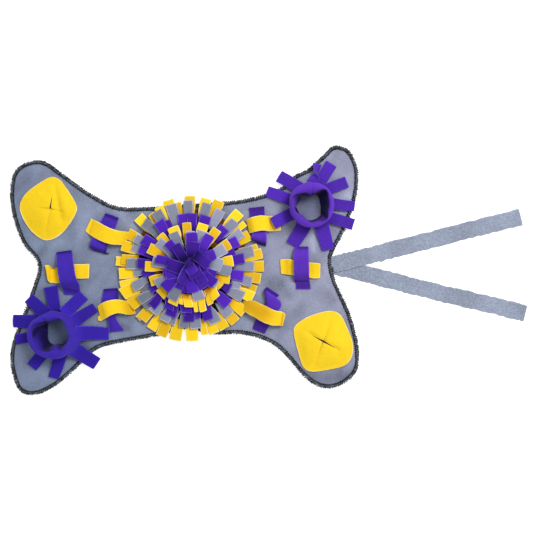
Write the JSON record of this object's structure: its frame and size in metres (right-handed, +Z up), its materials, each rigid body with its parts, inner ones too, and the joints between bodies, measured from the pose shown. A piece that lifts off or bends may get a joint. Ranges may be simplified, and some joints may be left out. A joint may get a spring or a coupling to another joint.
{
  "type": "snuffle mat",
  "caption": "Bone-shaped fleece snuffle mat: layered fringe rosette, slit pockets, soft cups with tab skirts, crossed strap loops and long ties on an overlocked base.",
  "frame": {"origin": "on the floor, under the middle of the rosette, at the mat's underside", "axes": "+X runs along the mat towards its ties, +Y across the mat towards the lobe that carries a cup on the tie side, +Z up from the floor"},
  "size_m": [0.9047, 0.4361, 0.0605],
  "materials": {
    "base_fleece": "brushed grey fleece",
    "yellow_fleece": "brushed yellow fleece",
    "purple_fleece": "brushed purple fleece",
    "grey_fleece": "brushed grey fleece strips",
    "edge_thread": "dark overlocking thread",
    "tie_fleece": "pale grey fleece ties"
  },
  "bodies": {
    "root": {"mat_base": "base_fleece", "overlock_edge": "edge_thread", "pocket_top_left": "yellow_fleece", "pocket_bottom_right": "yellow_fleece", "cup_bottom_left": "purple_fleece", "cup_bottom_left_skirt": "purple_fleece", "cup_top_right": "purple_fleece", "cup_top_right_skirt": "purple_fleece", "loop_top_left_yellow": "yellow_fleece", "loop_top_left_purple": "purple_fleece", "loop_left_purple": "purple_fleece", "loop_left_yellow": "yellow_fleece", "loop_bottom_left_yellow": "yellow_fleece", "loop_bottom_left_purple": "purple_fleece", "loop_top_right_yellow": "yellow_fleece", "loop_top_right_purple": "purple_fleece", "loop_right_purple": "purple_fleece", "loop_right_yellow": "yellow_fleece", "loop_bottom_right_yellow": "yellow_fleece", "loop_bottom_right_purple": "purple_fleece", "rosette_tier_1": "yellow_fleece", "rosette_tier_2": "grey_fleece", "rosette_tier_3": "purple_fleece", "rosette_tier_4": "yellow_fleece", "rosette_tier_5": "grey_fleece", "rosette_tier_6": "purple_fleece", "rosette_tier_7": "purple_fleece", "rosette_tier_8": "purple_fleece", "tie_lower": "tie_fleece", "tie_upper": "tie_fleece"}
  },
  "joints": []
}
